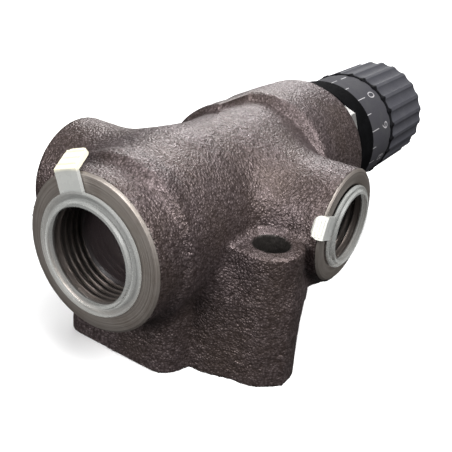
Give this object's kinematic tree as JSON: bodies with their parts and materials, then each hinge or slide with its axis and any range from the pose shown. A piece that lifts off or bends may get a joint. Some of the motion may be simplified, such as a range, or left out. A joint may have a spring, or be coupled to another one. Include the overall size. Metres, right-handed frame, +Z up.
{
  "type": "hydraulic flow control valve",
  "caption": "Pressure-compensated flow control valve: cast body with capped threaded ports, mounting lugs, hexagon cartridge bush and fluted knob with graduated ring.",
  "frame": {"origin": "On the machined base, half way between the two mounting holes and straight under the main bore.", "axes": "+Z up out of the base, +Y along the main bore towards the knob, +X towards the rear side port."},
  "size_m": [0.0737, 0.1582, 0.0581],
  "materials": {
    "cast_body": "rough sand-cast, ports machined",
    "cap_plastic": "translucent moulded polyethylene",
    "spring_steel": "phosphated",
    "ground_steel": "ground",
    "zinc_plated": "bright zinc plate",
    "bronze": "turned",
    "seal_rubber": "nitrile rubber",
    "backup_plastic": "white fluoropolymer",
    "index_black": "matt black",
    "dial_grey": "dark anodised",
    "black_screws": "black oxide",
    "grip_blue": "satin moulded",
    "hub_aluminium": "turned",
    "cover_plastic": "satin"
  },
  "bodies": {
    "body": {"valve_body": "cast_body", "retaining_ring": "spring_steel", "spring_seat": "ground_steel", "compensator_spring": "spring_steel", "throttle_sleeve": "ground_steel", "sleeve_dowel": "ground_steel", "sleeve_o_ring": "seal_rubber", "cartridge_bush": "zinc_plated", "bush_o_ring": "seal_rubber", "index_ring": "index_black", "stop_pin": "ground_steel"},
    "knob": {"knob_grip": "grip_blue", "dial_ring": "dial_grey", "dial_screws": "black_screws", "knob_hub": "hub_aluminium", "grub_screws": "black_screws", "knob_screw": "black_screws", "knob_end_cover": "cover_plastic", "throttle_spindle": "ground_steel", "thrust_washer": "bronze", "spindle_o_ring": "seal_rubber", "backup_ring": "backup_plastic"},
    "spool": {"compensator_spool": "ground_steel"},
    "front_cap": {"front_port_cap": "cap_plastic"},
    "right_cap": {"right_port_cap": "cap_plastic"},
    "left_cap": {"left_port_cap": "cap_plastic"}
  },
  "joints": [
    {"name": "knob_turn", "type": "hinge", "parent": "body", "child": "knob", "pos_m": [0, 0.09, 0.0355], "axis": [0, 1, 0], "range_deg": [-36, 288]},
    {"name": "spool_slide", "type": "slide", "parent": "body", "child": "spool", "axis": [0, 1, 0], "range_m": [0, 0.005], "stiffness_N_per_m": 900, "springref_m": -0.004, "deforming": ["compensator_spring"]},
    {"name": "front_cap_pull", "type": "slide", "parent": "body", "child": "front_cap", "axis": [0, -1, 0], "range_m": [0, 0.02]},
    {"name": "right_cap_pull", "type": "slide", "parent": "body", "child": "right_cap", "axis": [1, 0, 0], "range_m": [0, 0.018]},
    {"name": "left_cap_pull", "type": "slide", "parent": "body", "child": "left_cap", "axis": [-1, 0, 0], "range_m": [0, 0.018]}
  ]
}
